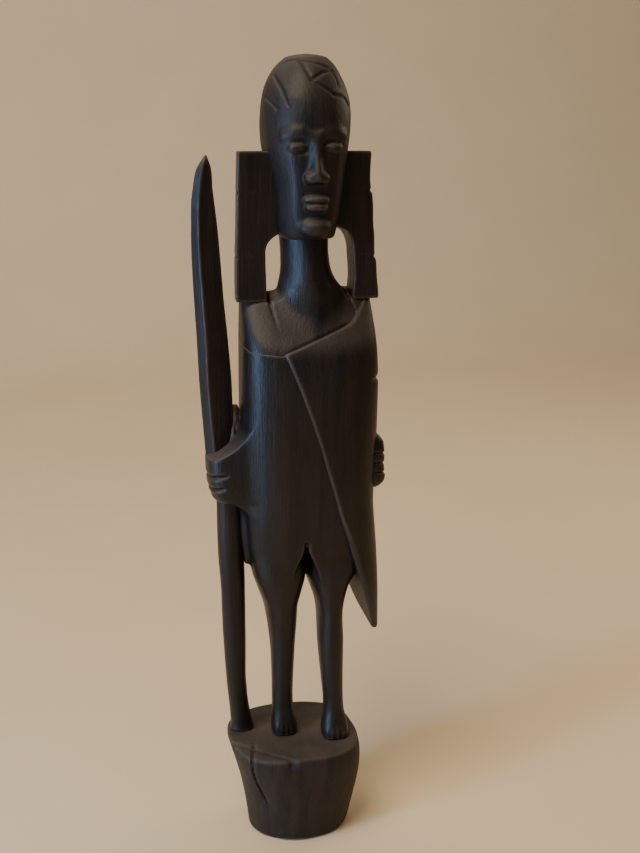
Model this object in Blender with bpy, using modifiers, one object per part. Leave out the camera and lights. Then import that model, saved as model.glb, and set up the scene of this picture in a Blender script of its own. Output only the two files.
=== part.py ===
"""Carved ancestor figure: a standing robed figure with a spear, cut from one block of dark wood.

Row frame: origin at the centre of the base's underside, +Z up, the figure faces -Y and its
right hand is on the -X side. The carved members are separate bodies a hairline apart.
"""
import math

import bmesh
import bpy
from mathutils import Matrix, Vector

MM = 0.001
GAP = 0.3                 # hairline between neighbouring members
COLLECTION = "carved_ancestor_figure"

# Heights up the figure, in millimetres
BASE_TOP = 40.0
ANKLE = 52.0
HEM = 118.0
SHOULDER_TOP = 213.5
JAW = 236.5
HEAD_TOP = 301.3
SLAB_TOP = 267.5
SPEAR_TIP = 266.4
FIST_BOTTOM, FIST_TOP = 137.0, 157.0
FLAP_TIP = 83.0

# Rounded sections: height, centre x, centre y, half width, half depth, squareness
BASE = [
    (0.0, -0.5, 0.0, 19.2, 16.4, 2.0), (1.2, -0.4, 0.0, 20.1, 17.3, 2.05), (12.0, 0.0, 0.0, 21.9, 20.4, 2.2),
    (26.0, -0.6, 0.0, 24.2, 24.0, 2.5), (36.0, -1.9, 0.0, 25.8, 25.4, 2.7), (38.8, -2.5, 0.0, 25.9, 25.2, 2.7),
    (BASE_TOP, -2.6, 0.0, 25.0, 24.3, 2.7),
]
RIGHT_FOOT = [
    (BASE_TOP + GAP, -6.0, -0.4, 4.9, 5.0, 2.6), (43.0, -6.0, -0.3, 5.0, 5.1, 2.55),
    (47.0, -6.2, 0.2, 4.7, 4.75, 2.3), (ANKLE, -6.35, 0.7, 4.2, 4.7, 2.2),
]
LEFT_FOOT = [
    (BASE_TOP + GAP, 12.9, -8.0, 5.1, 5.4, 2.6), (43.0, 12.9, -7.8, 5.2, 5.4, 2.55),
    (47.0, 12.9, -7.2, 4.7, 4.8, 2.3), (ANKLE, 12.75, -6.5, 4.1, 4.6, 2.1),
]
RIGHT_LEG = [
    (ANKLE + GAP, -6.35, 0.7, 4.2, 4.7, 2.2), (64.0, -6.3, 0.8, 4.3, 5.3, 2.1), (77.0, -6.25, 0.6, 4.8, 6.4, 2.2),
    (89.0, -6.6, 0.4, 5.8, 8.2, 2.3), (95.0, -7.0, 0.3, 6.5, 9.4, 2.35), (101.0, -7.3, 0.2, 8.2, 10.8, 2.5),
    (108.0, -7.9, 0.0, 9.7, 12.0, 2.6), (HEM - GAP, -8.9, 0.0, 10.7, 13.0, 2.8),
]
LEFT_LEG = [
    (ANKLE + GAP, 12.75, -6.5, 4.1, 4.6, 2.1), (62.0, 12.3, -5.8, 4.5, 5.2, 2.1), (79.0, 11.8, -4.4, 5.2, 6.9, 2.2),
    (95.5, 11.9, -2.4, 5.4, 9.4, 2.4), (103.0, 12.0, -1.6, 7.6, 10.8, 2.5), (109.0, 13.1, -0.8, 9.7, 11.8, 2.6),
    (HEM - GAP, 14.2, 0.0, 11.6, 13.0, 2.8),
]
TORSO = [
    (HEM, 3.6, 0.0, 23.7, 13.6, 2.9), (128.0, 3.6, -0.2, 24.3, 15.0, 2.9), (140.0, 3.5, -0.3, 24.6, 16.2, 2.9),
    (155.0, 3.6, -0.4, 25.2, 16.7, 2.9), (170.0, 3.7, -0.5, 25.6, 16.8, 3.0), (185.0, 3.75, -0.5, 25.7, 16.6, 3.1),
    (196.0, 3.7, -0.3, 26.0, 16.0, 3.1), (SHOULDER_TOP, 3.6, 4.2, 25.2, 8.9, 3.2),
]
NECK = [
    (194.0, 4.0, 1.0, 15.5, 15.2, 1.6), (204.0, 5.0, 0.8, 16.0, 13.3, 1.6), (211.0, 5.6, 0.6, 15.0, 11.8, 1.6),
    (217.0, 5.3, 0.4, 13.0, 11.0, 1.7), (220.5, 4.3, 0.3, 11.1, 10.6, 1.8), (224.0, 3.7, 0.2, 9.8, 10.4, 1.9),
    (230.0, 3.2, 0.2, 9.1, 10.0, 1.9), (JAW - GAP, 2.9, 0.2, 9.1, 9.8, 2.0),
]
HEAD = [
    (JAW, 3.2, -1.8, 9.6, 11.6, 2.7), (241.0, 3.2, -1.8, 10.7, 13.8, 2.6), (248.0, 3.5, -1.2, 11.6, 15.8, 2.5),
    (257.0, 3.8, -0.2, 12.7, 17.0, 2.4), (262.0, 3.6, 0.1, 13.7, 17.4, 2.35), (267.0, 3.4, 0.4, 14.9, 17.8, 2.3),
    (273.0, 3.5, 0.8, 15.9, 18.2, 2.2), (282.0, 3.9, 1.2, 16.1, 17.6, 2.1), (286.0, 3.9, 1.4, 15.6, 16.8, 2.1),
    (290.4, 3.8, 1.5, 14.4, 15.2, 2.0), (293.6, 3.8, 1.6, 12.9, 13.6, 2.0), (296.8, 4.0, 1.7, 10.8, 11.4, 2.0),
    (298.9, 4.2, 1.8, 8.7, 9.0, 2.0), (300.5, 4.3, 1.8, 5.9, 6.2, 2.0), (HEAD_TOP, 4.3, 1.8, 2.2, 2.4, 2.0),
]
SHAFT = [
    (BASE_TOP + GAP, -21.7, 7.6, 5.0, 4.8, 2.3), (42.0, -21.8, 7.5, 4.5, 4.4, 2.2), (46.5, -22.4, 7.1, 4.1, 4.2, 2.1),
    (60.0, -23.9, 5.8, 3.9, 4.0, 2.1), (79.6, -24.7, 4.3, 4.4, 4.2, 2.1), (96.8, -25.1, 3.5, 4.7, 4.4, 2.1),
    (104.0, -25.3, 3.2, 4.8, 4.5, 2.2), (116.5, -25.9, 2.6, 4.95, 4.7, 2.2),
    (FIST_BOTTOM - GAP, -26.2, 2.0, 5.0, 4.9, 2.2),
]
RIGHT_FIST = [
    (FIST_BOTTOM, -25.6, 0.8, 4.8, 6.4, 2.6), (139.6, -26.2, 0.8, 6.2, 7.4, 2.6), (143.0, -27.0, 0.8, 7.1, 8.0, 2.7),
    (148.0, -27.4, 0.8, 7.6, 8.3, 2.7), (153.0, -27.4, 0.8, 7.6, 8.1, 2.7), (155.0, -27.0, 0.8, 7.0, 7.7, 2.6),
    (FIST_TOP, -26.0, 0.8, 5.6, 6.6, 2.6),
]
LEFT_FIST = [
    (141.2, 28.0, -4.6, 2.4, 3.4, 2.4), (143.0, 28.6, -4.8, 3.6, 4.6, 2.7), (150.0, 28.8, -5.0, 3.9, 5.2, 2.9),
    (157.0, 28.8, -5.0, 3.9, 5.2, 2.8), (160.5, 28.5, -4.8, 3.5, 4.8, 2.6), (163.4, 27.6, -4.4, 2.0, 3.2, 2.4),
]
# Outer skin that carries the front wrap below the hem, same columns
WRAP_TAIL = [
    (FLAP_TIP, 4.2, -0.4, 27.0, 9.6, 3.0), (92.0, 4.3, -0.4, 26.4, 12.0, 3.0), (105.0, 4.3, -0.2, 25.6, 13.8, 3.0),
]
# Front wrap: height, x of the slanted edge, thickness, end angle round the figure's left side
WRAP = [
    (FLAP_TIP, 29.4, 1.6, -21.0), (87.0, 28.2, 3.8, -12.0), (92.0, 26.4, 5.8, -4.0), (99.0, 23.8, 7.2, 3.0),
    (108.0, 20.8, 7.2, 7.0), (118.0, 17.6, 5.6, 10.0), (126.0, 15.0, 3.8, 12.0), (140.2, 10.4, 3.0, 12.0),
    (152.0, 6.8, 3.0, 12.0), (162.0, 3.8, 3.0, 12.0), (175.0, -0.7, 3.0, 12.0), (191.0, -6.6, 3.0, 12.0),
    (200.0, -9.4, 3.0, 12.0), (211.5, -10.4, 3.0, 12.0),
]
WRAP_RELIEF = 0.8         # how far the wrap stands off the robe

# Ear slabs: height, inner x, outer x, front y, back y; the lugs at the top run into the head
SLAB_FRONT, SLAB_BACK = -4.2, 5.5
SLABS = {
    "right": [(SHOULDER_TOP + GAP, -11.9, -23.4), (222.0, -12.1, -23.4), (233.0, -12.2, -23.2), (235.0, -11.4, -23.1),
              (237.0, -9.4, -23.0), (239.0, -6.0, -22.9), (SLAB_TOP, -6.0, -22.1)],
    "left": [(SHOULDER_TOP + GAP, 20.5, 30.6), (222.0, 21.2, 30.1), (229.6, 20.8, 29.4), (235.0, 20.2, 29.1),
             (237.0, 19.4, 29.0), (239.0, 17.8, 28.8), (241.0, 12.0, 28.6), (SLAB_TOP, 12.0, 27.4)],
}
# Spear blade: height, left x, right x, ridge x, half thickness
BLADE = [
    (FIST_TOP + GAP, -35.1, -24.4, -31.9, 3.7), (170.0, -36.0, -24.4, -33.0, 3.9), (185.0, -36.9, -24.8, -33.9, 4.0),
    (200.0, -37.4, -25.4, -34.4, 3.9), (217.0, -38.1, -26.6, -35.1, 3.7), (239.0, -38.6, -28.6, -35.7, 3.2),
    (254.0, -37.5, -30.4, -34.9, 2.4), (262.4, -35.1, -31.5, -33.7, 1.4), (SPEAR_TIP, -32.8, -32.2, -32.5, 0.5),
]
BLADE_Y = 2.0
BRIDGE = [
    (161.5, -24.1, -22.1, 0.8, 4.2), (170.0, -24.1, -22.3, 0.4, 4.4), (176.0, -24.4, -22.5, 1.2, 3.6),
]
# Robe's top edge seen from the front: x, height; it climbs towards the back
NECKLINE = [(-60.0, 201.4), (-9.0, 195.3), (60.0, 220.1)]
NECKLINE_FRONT_Y = -16.3
NECKLINE_CLIMB = 0.4      # rise per millimetre of depth

RING_POINTS = 28


def interpolate(rows, height):
    """Read a station table at one height, eased smoothly between its rows."""
    rows = sorted(rows)
    height = min(max(height, rows[0][0]), rows[-1][0])
    index = max(i for i in range(len(rows) - 1) if rows[i][0] <= height)
    span = rows[index + 1][0] - rows[index][0]
    t = (height - rows[index][0]) / span
    values = []
    for column in range(1, len(rows[0])):
        a, b = rows[index][column], rows[index + 1][column]
        before = rows[index - 1] if index else rows[index]
        after = rows[index + 2] if index + 2 < len(rows) else rows[index + 1]
        slope_a = (b - before[column]) / (rows[index + 1][0] - before[0]) * span
        slope_b = (after[column] - a) / (after[0] - rows[index][0]) * span
        limit = 3.0 * abs(b - a)
        slope_a = max(-limit, min(limit, slope_a))
        slope_b = max(-limit, min(limit, slope_b))
        values.append((2 * t**3 - 3 * t**2 + 1) * a + (t**3 - 2 * t**2 + t) * slope_a
                      + (3 * t**2 - 2 * t**3) * b + (t**3 - t**2) * slope_b)
    return values


def heights_between(rows, step):
    """Every station height plus evenly spaced heights no further apart than step."""
    levels = []
    for low, high in zip(rows, rows[1:]):
        pieces = max(1, math.ceil((high[0] - low[0]) / step))
        levels += [low[0] + (high[0] - low[0]) * i / pieces for i in range(pieces)]
    return levels + [rows[-1][0]]


def on_section(section, angle, offset=0.0):
    """Point of a rounded section at an angle, moved outwards by offset."""
    centre_x, centre_y, half_x, half_y, power = section
    cosine, sine = math.cos(angle), math.sin(angle)
    x = half_x * math.copysign(abs(cosine) ** (2 / power), cosine)
    y = half_y * math.copysign(abs(sine) ** (2 / power), sine)
    normal = Vector((math.copysign(abs(x / half_x) ** (power - 1) / half_x, x),
                     math.copysign(abs(y / half_y) ** (power - 1) / half_y, y))).normalized()
    return centre_x + x + normal.x * offset, centre_y + y + normal.y * offset


def skin(name, sections, smooth=True):
    """Close a stack of equal-length point rings into one body."""
    mesh = bpy.data.meshes.new(name)
    shape = bmesh.new()
    rings = [[shape.verts.new((x * MM, y * MM, z * MM)) for x, y, z in ring] for ring in sections]
    for lower, upper in zip(rings, rings[1:]):
        for i in range(len(lower)):
            j = (i + 1) % len(lower)
            shape.faces.new((lower[i], lower[j], upper[j], upper[i])).smooth = smooth
    shape.faces.new(list(reversed(rings[0])))
    shape.faces.new(rings[-1])
    bmesh.ops.recalc_face_normals(shape, faces=shape.faces)
    shape.to_mesh(mesh)
    shape.free()
    return bpy.data.objects.new(name, mesh)


def rounded(name, rows, step=7.0, offset=0.0, points=RING_POINTS):
    """Loft rounded sections up a station table, optionally grown by offset all round."""
    sections = []
    for height in heights_between(rows, step):
        section = interpolate(rows, height)
        ring = [on_section(section, 2 * math.pi * i / points, offset) for i in range(points)]
        sections.append([(x, y, height) for x, y in ring])
    sections[0] = [(x, y, z - offset) for x, y, z in sections[0]]
    sections[-1] = [(x, y, z + offset) for x, y, z in sections[-1]]
    return skin(name, sections)


def wrap_band(name, clearance):
    """The robe's front wrap: a band on the robe's skin, right of the slanted edge."""
    skin_rows = WRAP_TAIL + TORSO
    arc_points = 12
    sections = []
    for height in heights_between(WRAP, 7.0):
        edge_x, thickness, end_degrees = interpolate(WRAP, height)
        section = interpolate(skin_rows, height)
        across = max(-1.0, min(1.0, (edge_x - clearance - section[0]) / section[2]))
        cosine = math.copysign(abs(across) ** (section[4] / 2), across)
        start = -math.acos(cosine)
        end = math.radians(end_degrees) + clearance * 0.02
        angles = [start + (end - start) * i / (arc_points - 1) for i in range(arc_points)]
        outer = [on_section(section, angle, WRAP_RELIEF + clearance) for angle in angles]
        inner = [on_section(section, angle, -thickness - clearance) for angle in reversed(angles)]
        sections.append([(x, y, height) for x, y in outer + inner])
    sections[0] = [(x, y, z - clearance) for x, y, z in sections[0]]
    return skin(name, sections)


def slanted_box(name, rows):
    """Loft of rectangles: height, inner x, outer x, front y, back y."""
    sections = [[(a, front, z), (b, front, z), (b, back, z), (a, back, z)] for z, a, b, front, back in rows]
    return skin(name, sections, smooth=False)


def neckline_cutter(name, lift):
    """Big wedge above the robe's top edge, lowered or raised by lift."""
    back_y = 60.0
    front_y = -60.0
    top = 330.0
    outline = NECKLINE + [(60.0, top), (-60.0, top)]
    sections = []
    for y in (front_y, back_y):
        rise = NECKLINE_CLIMB * (y - NECKLINE_FRONT_Y) + lift
        sections.append([(x, y, z + (rise if z < top else 0.0)) for x, z in outline])
    return skin(name, sections, smooth=False)


def material(name, colour, roughness):
    """Dark hardwood finish for one member."""
    wood = bpy.data.materials.new(name)
    wood.use_nodes = True
    shader = wood.node_tree.nodes["Principled BSDF"]
    shader.inputs["Base Color"].default_value = (*colour, 1.0)
    shader.inputs["Roughness"].default_value = roughness
    return wood


def place(obj, colour=(0.035, 0.026, 0.022), roughness=0.42):
    """Put a member in the object's collection with its own material."""
    figure.objects.link(obj)
    obj.data.materials.append(material(obj.name + "_wood", colour, roughness))
    return obj


def guide(obj):
    """Keep a cutting body out of the object."""
    guides.objects.link(obj)
    obj.hide_render = True
    obj.display_type = "WIRE"
    return obj


def combine(target, tool, operation):
    """Boolean a tool body into a member."""
    step = target.modifiers.new(tool.name, "BOOLEAN")
    step.operation = operation
    step.solver = "EXACT"
    step.object = tool


def soften(obj, width, segments=2):
    """Round a member's arrises."""
    bevel = obj.modifiers.new("softened_edges", "BEVEL")
    bevel.width = width * MM
    bevel.segments = segments
    bevel.limit_method = "ANGLE"
    bevel.angle_limit = math.radians(35)


def groove(name, size, centre, turn=(0.0, 0.0, 0.0)):
    """Narrow diamond-section bar used to score a groove."""
    length, width, depth = size
    half = Vector((length / 2, width / 2, depth / 2)) * MM
    ends = []
    for x in (-half.x, half.x):
        ends.append([(x / MM, 0.0, -half.z / MM), (x / MM, half.y / MM, 0.0),
                     (x / MM, 0.0, half.z / MM), (x / MM, -half.y / MM, 0.0)])
    bar = skin(name, ends, smooth=False)
    bar.location = Vector(centre) * MM
    bar.rotation_euler = [math.radians(angle) for angle in turn]
    return guide(bar)


for leftover in list(bpy.data.objects):
    bpy.data.objects.remove(leftover, do_unlink=True)
figure = bpy.data.collections.new(COLLECTION)
guides = bpy.data.collections.new(COLLECTION + "_guides")
bpy.context.scene.collection.children.link(figure)
bpy.context.scene.collection.children.link(guides)

# Base, feet and legs
base = place(rounded("base_block", BASE, step=12.0, points=40), (0.045, 0.033, 0.028), 0.62)
wrap_clearance = guide(wrap_band("wrap_clearance", GAP))
for side, foot_rows, leg_rows in (("right", RIGHT_FOOT, RIGHT_LEG), ("left", LEFT_FOOT, LEFT_LEG)):
    foot = place(rounded(side + "_foot", foot_rows, step=4.0, points=24))
    sole_z, foot_x, foot_y, foot_half_width, foot_half_length, _ = foot_rows[0]
    for toe in range(4):
        toe_x = foot_x + (toe - 1.5) * foot_half_width * 0.42
        bar = groove(f"{side}_toe_groove_{toe}", (9.0, 0.8, 1.6),
                     (toe_x, foot_y - foot_half_length + 0.5, sole_z + 3.0), (0.0, 75.0, 90.0))
        combine(foot, bar, "DIFFERENCE")
    leg = place(rounded(side + "_leg", leg_rows, step=6.0, points=24))
    if side == "left":
        combine(leg, wrap_clearance, "DIFFERENCE")

# Robed body: neck and bared chest above the neckline, robe below it
neck_flare = guide(rounded("neck_flare", NECK, step=6.0))
above_neckline = guide(neckline_cutter("above_neckline", -GAP / 2))
kept_chest = guide(neckline_cutter("kept_chest", GAP / 2))
robe = place(rounded("robe", TORSO, step=8.0, points=36))
chest = place(rounded("neck_and_chest", TORSO, step=8.0, points=36))
wrap = place(wrap_band("robe_wrap", 0.0))
combine(robe, neck_flare, "UNION")
combine(robe, above_neckline, "DIFFERENCE")
combine(robe, wrap_clearance, "DIFFERENCE")
combine(chest, neck_flare, "UNION")
combine(chest, kept_chest, "INTERSECT")
combine(wrap, above_neckline, "DIFFERENCE")

# Hands at the robe's sides, the right one closed round the spear
for side, fist_rows in (("right", RIGHT_FIST), ("left", LEFT_FIST)):
    pocket = guide(rounded(side + "_fist_pocket", fist_rows, step=4.0, offset=GAP, points=24))
    combine(robe, pocket, "DIFFERENCE")
    combine(wrap, pocket, "DIFFERENCE")
    fist = place(rounded(side + "_fist", fist_rows, step=4.0, points=24))
    low, high = fist_rows[0][0], fist_rows[-1][0]
    outward = -1 if side == "right" else 1
    _, knuckle_x, knuckle_y, knuckle_half, _, _ = fist_rows[2]
    for finger in range(3):
        bar_z = low + (high - low) * (0.25 + 0.22 * finger)
        bar = groove(f"{side}_finger_groove_{finger}", (13.0, 1.4, 1.0),
                     (knuckle_x + outward * (knuckle_half - 0.2), knuckle_y, bar_z), (0.0, 0.0, 90.0))
        combine(fist, bar, "DIFFERENCE")

# Spear beside the right leg
shaft_clearance = guide(rounded("shaft_clearance", SHAFT, step=14.0, offset=GAP, points=20))
combine(robe, shaft_clearance, "DIFFERENCE")
shaft = place(rounded("spear_shaft", SHAFT, step=14.0, points=20))
blade_sections = []
for height, left_x, right_x, ridge_x, half in BLADE:
    blade_sections.append([
        (left_x, BLADE_Y, height), (ridge_x, BLADE_Y - half, height), (right_x, BLADE_Y - half * 0.45, height),
        (right_x, BLADE_Y + half * 0.45, height), (ridge_x, BLADE_Y + half, height),
    ])
blade = place(skin("spear_blade", blade_sections, smooth=False))
soften(blade, 0.35, 1)
bridge = place(slanted_box("blade_bridge", BRIDGE), (0.05, 0.036, 0.03), 0.7)
soften(bridge, 0.3, 1)

# Head and the long ear slabs that stand on the shoulders
head = place(rounded("head", HEAD, step=5.0, points=32))
head_clearance = guide(rounded("head_clearance", HEAD, step=5.0, offset=GAP, points=32))
for side in ("right", "left"):
    rows = [(z, inner, outer, SLAB_FRONT, SLAB_BACK) for z, inner, outer in SLABS[side]]
    slab = place(slanted_box(side + "_ear_slab", rows))
    combine(slab, head_clearance, "DIFFERENCE")
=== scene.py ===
"""Looks of the carved ancestor figure: one block of near-black hardwood, knife cut and rubbed to a sheen.

Each member is carved as a solid field, negative inside the wood, in millimetres of the CAD's own frame.
Its tables follow the CAD boxes. The field is then skinned, and members that run into each other without
a crease are cut from one skin.
"""
import copy
import math

import bmesh
import bpy
import numpy as np
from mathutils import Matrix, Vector


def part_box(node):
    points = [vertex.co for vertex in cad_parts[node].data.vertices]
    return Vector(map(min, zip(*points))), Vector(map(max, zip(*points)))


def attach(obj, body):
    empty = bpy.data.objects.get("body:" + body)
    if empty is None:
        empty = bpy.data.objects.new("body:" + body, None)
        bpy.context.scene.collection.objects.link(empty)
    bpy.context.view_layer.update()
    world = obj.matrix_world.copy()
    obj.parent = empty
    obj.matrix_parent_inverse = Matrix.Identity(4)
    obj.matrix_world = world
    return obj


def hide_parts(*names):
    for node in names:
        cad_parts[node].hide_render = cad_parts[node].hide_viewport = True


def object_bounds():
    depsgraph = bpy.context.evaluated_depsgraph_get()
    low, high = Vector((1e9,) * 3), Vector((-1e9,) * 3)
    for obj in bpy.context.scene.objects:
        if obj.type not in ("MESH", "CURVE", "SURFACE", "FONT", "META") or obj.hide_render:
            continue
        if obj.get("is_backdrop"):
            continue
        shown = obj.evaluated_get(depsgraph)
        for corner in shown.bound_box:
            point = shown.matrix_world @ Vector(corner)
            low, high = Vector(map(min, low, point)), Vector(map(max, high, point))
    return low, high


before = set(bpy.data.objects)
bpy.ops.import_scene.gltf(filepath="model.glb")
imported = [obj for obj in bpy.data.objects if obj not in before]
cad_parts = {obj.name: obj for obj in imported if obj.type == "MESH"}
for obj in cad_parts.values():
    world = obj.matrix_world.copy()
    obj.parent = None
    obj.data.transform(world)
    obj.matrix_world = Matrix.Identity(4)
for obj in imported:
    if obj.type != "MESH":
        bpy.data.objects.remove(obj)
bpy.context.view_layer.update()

MM = 0.001
REAL = np.float32
GAP = 0.3                 # hairline between neighbouring members


# ---------------------------------------------------------------- placing from the CAD boxes

# Where the tables below have each CAD node, in millimetres: middle x, middle y and lowest z
DRAWN_AT = {
    "base_block": (-2.25, 0.0, 0.0), "spear_shaft": (-23.95, 4.75, 40.3), "spear_blade": (-31.42, 2.0, 157.3),
    "blade_bridge": (-23.25, 2.4, 161.5), "right_leg": (-8.87, 0.0, 52.3), "left_leg": (14.09, 0.0, 52.3),
    "robe": (3.47, -0.45, 118.0), "robe_wrap": (11.61, -5.28, 83.0), "neck_and_chest": (1.75, -1.05, 195.67),
    "right_fist": (-27.4, 0.8, 137.0), "left_fist": (28.8, -5.0, 141.2), "head": (3.8, 0.78, 236.5),
    "right_ear_slab": (-14.86, 0.65, 213.8), "left_ear_slab": (21.91, 0.65, 213.8),
}


def corners(node):
    """Lowest and highest corner of a CAD node, in millimetres."""
    return [[value / MM for value in corner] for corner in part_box(node)]


def shift(node):
    """How far the frame has a CAD node from where the tables here have it, in millimetres."""
    low, high = corners(node)
    place = (low[0] + high[0]) / 2, (low[1] + high[1]) / 2, low[2]
    return [at - drawn for at, drawn in zip(place, DRAWN_AT[node])]


def rows(node, table):
    """Station rows (height, x, y, sizes...) moved along with their CAD node."""
    dx, dy, dz = shift(node)
    return [(row[0] + dz, row[1] + dx, row[2] + dy, *row[3:]) for row in table]


def points(node, table):
    """Points (x, y, z, extras...) moved along with their CAD node."""
    dx, dy, dz = shift(node)
    return [(row[0] + dx, row[1] + dy, row[2] + dz, *row[3:]) for row in table]


def levels(node, table):
    """Rows (height, x, sizes...) moved along with their CAD node."""
    dx, _, dz = shift(node)
    return [(row[0] + dz, row[1] + dx, *row[2:]) for row in table]


# ---------------------------------------------------------------- solid fields

class Grid:
    """Axis-aligned sampling grid, in millimetres."""

    def __init__(self, low, high, step):
        self.low = np.array(low, dtype=float)
        self.step = step
        counts = [math.ceil((b - a) / step) + 1 for a, b in zip(low, high)]
        self.set_axes([(a + step * np.arange(count)).astype(REAL) for a, count in zip(self.low, counts)])

    def set_axes(self, axes):
        """Keep the samples along each axis, with x, y and z shaped to spread over the grid."""
        self.axes = axes
        self.x = axes[0][:, None, None]
        self.y = axes[1][None, :, None]
        self.z = axes[2][None, None, :]

    def window(self, slices):
        """The samples inside one slice of each axis."""
        part = copy.copy(self)
        part.set_axes([axis[kept] for axis, kept in zip(self.axes, slices)])
        return part

    def heights(self):
        """Sample heights for reading a station table."""
        return self.axes[2].astype(float)


def read_rows(table, heights):
    """Smoothly interpolated columns of a station table at each height."""
    table = np.array(sorted(table), dtype=float)
    z, values = table[:, 0], table[:, 1:]
    slopes = np.gradient(values, z, axis=0) if len(z) > 2 else np.repeat(
        (values[1:] - values[:1]) / (z[1] - z[0]), 2, axis=0)
    i = np.clip(np.searchsorted(z, heights, side="right") - 1, 0, len(z) - 2)
    width = (z[i + 1] - z[i])[:, None]
    t = np.clip((heights - z[i])[:, None] / width, 0.0, 1.0)
    out = ((2 * t**3 - 3 * t**2 + 1) * values[i] + (t**3 - 2 * t**2 + t) * slopes[i] * width
           + (3 * t**2 - 2 * t**3) * values[i + 1] + (t**3 - t**2) * slopes[i + 1] * width)
    return [out[:, c].astype(REAL)[None, None, :] for c in range(out.shape[1])]


def join(a, b, blend):
    """Union with a fillet of about blend millimetres."""
    h = np.maximum(blend - np.abs(a - b), 0) / blend
    return np.minimum(a, b) - h * h * (blend * 0.25)


def meet(a, b, blend):
    """Intersection with a rounded arris."""
    return -join(-a, -b, blend)


def cut(a, b, blend):
    """a with b taken away."""
    return -join(-a, b, blend)


def section(grid, cx, cy, hx, hy, power):
    """Each sample's size against a rounded section about (cx, cy), and its distance from that middle."""
    ratio = ((np.abs(grid.x - cx) / hx) ** power + (np.abs(grid.y - cy) / hy) ** power) ** (1 / power)
    return ratio, np.sqrt((grid.x - cx) ** 2 + (grid.y - cy) ** 2)


def loft(grid, table, cap_blend=0.8):
    """Rounded sections up a table of height, x, y, half width, half depth, squareness."""
    cx, cy, hx, hy, power = read_rows(table, grid.heights())
    ratio, reach = section(grid, cx, cy, hx, hy, power)
    ratio = np.maximum(ratio, 1e-3)
    side = np.where(ratio > 0.02, reach * (1 - 1 / ratio), -np.minimum(hx, hy))
    ends = np.maximum(table[0][0] - grid.z, grid.z - table[-1][0])
    return meet(side, ends + 0 * side, cap_blend)


def ellipsoid(grid, centre, radii):
    """Distance-like field of an ellipsoid."""
    dx, dy, dz = grid.x - centre[0], grid.y - centre[1], grid.z - centre[2]
    a, b, c = radii
    k0 = np.sqrt((dx / a) ** 2 + (dy / b) ** 2 + (dz / c) ** 2)
    k1 = np.sqrt((dx / a**2) ** 2 + (dy / b**2) ** 2 + (dz / c**2) ** 2)
    return k0 * (k0 - 1) / np.maximum(k1, 1e-6)


def along_segment(grid, start, end):
    """How far along a segment each sample lies, from 0 to 1, and its squared distance to the segment."""
    start, end = np.array(start, dtype=float), np.array(end, dtype=float)
    along = end - start
    dx, dy, dz = grid.x - start[0], grid.y - start[1], grid.z - start[2]
    t = np.clip((dx * along[0] + dy * along[1] + dz * along[2]) / float(along @ along), 0, 1)
    return t, (dx - t * along[0]) ** 2 + (dy - t * along[1]) ** 2 + (dz - t * along[2]) ** 2


def near_line(grid, path):
    """Distance to a polyline of (x, y, z) points."""
    squares = [along_segment(grid, start, end)[1] for start, end in zip(path, path[1:])]
    return np.sqrt(np.minimum.reduce(squares))


def finger(grid, path, radii):
    """Round bar along a polyline whose radius eases from the first to the last value."""
    bars = []
    for i, (start, end) in enumerate(zip(path, path[1:])):
        t, square = along_segment(grid, start, end)
        radius = radii[0] + (radii[1] - radii[0]) * (i + t) / (len(path) - 1)
        bars.append(np.sqrt(square) - radius)
    return np.minimum.reduce(bars)


FLANK = 1.6               # a cut line runs out at this many of its half widths
CUT_WINDOW = 2.6          # samples this many half widths round it are enough to cut it


def v_cut(distance, width, depth):
    """Depth of a V line of that half width and full depth, at a distance from it."""
    fade = np.clip(1 - distance / (width * FLANK), 0, 1)
    return depth * fade * np.sqrt(fade)


def score(field, grid, path, width, depth):
    """Cut a V line of that half width and depth into the field along a polyline near its skin."""
    reach = width * CUT_WINDOW
    path = np.array(path, dtype=float)
    low, high = path.min(axis=0) - reach, path.max(axis=0) + reach
    window = tuple(slice(*np.searchsorted(grid.axes[i], (low[i], high[i]))) for i in range(3))
    if all(kept.start < kept.stop for kept in window):
        field[window] += v_cut(near_line(grid.window(window), path), width, depth)
    return field


def groove(field, away, width, depth, share=1.0):
    """Cut a V line of that half width and depth where the distance away is nearly nothing."""
    return field + v_cut(np.abs(away), width, depth) * share


NOISE_START, NOISE_SPAN = -80.0, 420.0   # the cube that every noise lattice covers


def wobble(grid, cell, seed, faceted=False):
    """Value noise from -1 to 1 on a lattice fixed in space; faceted gives flat knife planes."""
    sizes = [int(NOISE_SPAN / c) + 3 for c in cell]
    lattice = np.random.default_rng(seed).uniform(-1, 1, sizes)
    for axis in range(3):
        at = (grid.axes[axis].astype(float) - NOISE_START) / cell[axis]
        i = np.floor(at).astype(int)
        t = at - i
        if not faceted:
            t = t * t * t * (t * (6 * t - 15) + 10)
        a = np.take(lattice, i, axis=axis)
        b = np.take(lattice, i + 1, axis=axis)
        shape = [1, 1, 1]
        shape[axis] = len(t)
        t = t.reshape(shape)
        lattice = a + (b - a) * t
    return lattice.astype(REAL)


def plane(grid, point, normal):
    """Signed distance to a plane, negative behind its normal."""
    n = np.array(normal, dtype=float)
    n /= np.linalg.norm(n)
    return (grid.x - point[0]) * n[0] + (grid.y - point[1]) * n[1] + (grid.z - point[2]) * n[2]


def sample(grid, field, at):
    """Field value at points, read between samples."""
    position = (at - grid.low) / grid.step
    limit = np.array(field.shape) - 2
    i = np.clip(np.floor(position).astype(int), 0, limit)
    t = np.clip(position - i, 0, 1)
    total = np.zeros(len(at))
    for corner in range(8):
        off = np.array([corner & 1, corner >> 1 & 1, corner >> 2 & 1])
        weight = np.prod(np.where(off, t, 1 - t), axis=1)
        j = i + off
        total += weight * field[j[:, 0], j[:, 1], j[:, 2]]
    return total


# ---------------------------------------------------------------- skins

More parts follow.
